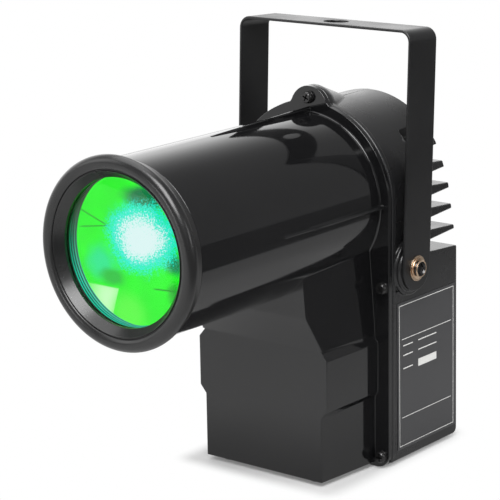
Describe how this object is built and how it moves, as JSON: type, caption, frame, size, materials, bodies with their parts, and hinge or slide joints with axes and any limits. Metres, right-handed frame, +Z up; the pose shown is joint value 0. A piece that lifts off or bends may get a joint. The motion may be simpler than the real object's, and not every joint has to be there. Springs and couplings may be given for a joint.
{
  "type": "pinspot light",
  "caption": "Compact narrow-beam stage light: round snoot with a lens, finned rear housing with sockets and controls, and a steel yoke that tilts on side bolts.",
  "frame": {"origin": "on the floor under the middle of the fixture's bounding box", "axes": "+Z up, light leaves along -Y, controls and sockets face +Y, +X is the side with the bare rating label"},
  "size_m": [0.1208, 0.23, 0.2405],
  "materials": {
    "snoot_plastic": "gloss, moulded",
    "rim_plastic": "satin gloss, moulded",
    "lens_glass": "polished, clear",
    "gasket_rubber": "matt",
    "spacer_plastic": "matt, moulded",
    "diffuser_plastic": "frosted, ribbed on the lens side",
    "board_mask": "satin white solder mask",
    "board_green": "satin green solder mask",
    "led_package": "clear dome over the chips",
    "optic_acrylic": "polished, clear",
    "holder_plastic": "matt, moulded",
    "housing_paint": "satin black paint over die-cast aluminium",
    "yoke_paint": "fine-grained satin powder coat over steel",
    "black_screw": "black oxide",
    "bronze_bolt": "yellow-chromated steel, satin",
    "washer_steel": "zinc plated",
    "friction_fibre": "matt",
    "panel_paint": "fine-grained satin powder coat over steel",
    "window_acrylic": "polished, dark red tint",
    "display_case": "matt",
    "button_plastic": "satin",
    "socket_plastic": "matt, moulded",
    "socket_metal": "satin black over zinc die-casting",
    "pin_metal": "polished contact plating",
    "latch_metal": "satin",
    "blade_metal": "nickel plated",
    "drawer_plastic": "matt, moulded",
    "fuse_glass": "clear tube with plated caps",
    "winding_tape": "yellow tape over ferrite",
    "can_sleeve": "shrunk sleeve",
    "bare_aluminium": "extruded",
    "post_metal": "turned",
    "wire_plastic": "satin insulation",
    "label_film": "satin polyester film",
    "foot_rubber": "matt"
  },
  "bodies": {
    "head": {"snoot": "snoot_plastic", "rim_ring": "rim_plastic", "lens": "lens_glass", "lens_gasket": "gasket_rubber", "lens_spacer": "spacer_plastic", "mixing_screen": "diffuser_plastic", "retaining_ring": "spacer_plastic", "led_board": "board_mask", "led_emitter": "led_package", "led_screws": "washer_steel", "collimator": "optic_acrylic", "collimator_holder": "holder_plastic", "flange_screws": "black_screw", "flange_washers": "black_screw", "rear_housing": "housing_paint", "pivot_bolts": "bronze_bolt", "pivot_washers": "bronze_bolt", "friction_washers": "friction_fibre", "rear_panel": "panel_paint", "panel_screws": "black_screw", "display_window": "window_acrylic", "display_module": "display_case", "tact_switches": "socket_plastic", "dmx_in": "socket_metal", "dmx_in_pins": "pin_metal", "dmx_out": "socket_metal", "dmx_out_insert": "socket_plastic", "socket_screws": "black_screw", "mains_inlet": "socket_plastic", "mains_blades": "blade_metal", "control_board": "board_green", "control_parts": "socket_plastic", "power_board": "board_green", "transformer": "winding_tape", "capacitors": "can_sleeve", "regulator_sink": "bare_aluminium", "board_posts": "post_metal", "panel_posts": "post_metal", "wiring": "wire_plastic", "rating_label": "label_film", "rubber_feet": "foot_rubber"},
    "yoke": {"yoke": "yoke_paint"},
    "menu_body": {"button_menu": "button_plastic"},
    "down_body": {"button_down": "button_plastic"},
    "up_body": {"button_up": "button_plastic"},
    "enter_body": {"button_enter": "button_plastic"},
    "latch": {"dmx_latch": "latch_metal"},
    "drawer": {"fuse_drawer": "drawer_plastic", "fuse": "fuse_glass"}
  },
  "joints": [
    {"name": "yoke_tilt", "type": "hinge", "parent": "head", "child": "yoke", "pos_m": [0, 0.065, 0.1107], "axis": [1, 0, 0], "range_deg": [-250, 44]},
    {"name": "menu_press", "type": "slide", "parent": "head", "child": "menu_body", "axis": [0, -1, 0], "range_m": [0, 0.0008], "stiffness_N_per_m": 400},
    {"name": "down_press", "type": "slide", "parent": "head", "child": "down_body", "axis": [0, -1, 0], "range_m": [0, 0.0008], "stiffness_N_per_m": 400},
    {"name": "up_press", "type": "slide", "parent": "head", "child": "up_body", "axis": [0, -1, 0], "range_m": [0, 0.0008], "stiffness_N_per_m": 400},
    {"name": "enter_press", "type": "slide", "parent": "head", "child": "enter_body", "axis": [0, -1, 0], "range_m": [0, 0.0008], "stiffness_N_per_m": 400},
    {"name": "latch_press", "type": "slide", "parent": "head", "child": "latch", "axis": [0, -1, 0], "range_m": [0, 0.0008], "stiffness_N_per_m": 400},
    {"name": "drawer_pull", "type": "slide", "parent": "head", "child": "drawer", "axis": [0, 1, 0], "range_m": [0, 0.012]}
  ]
}
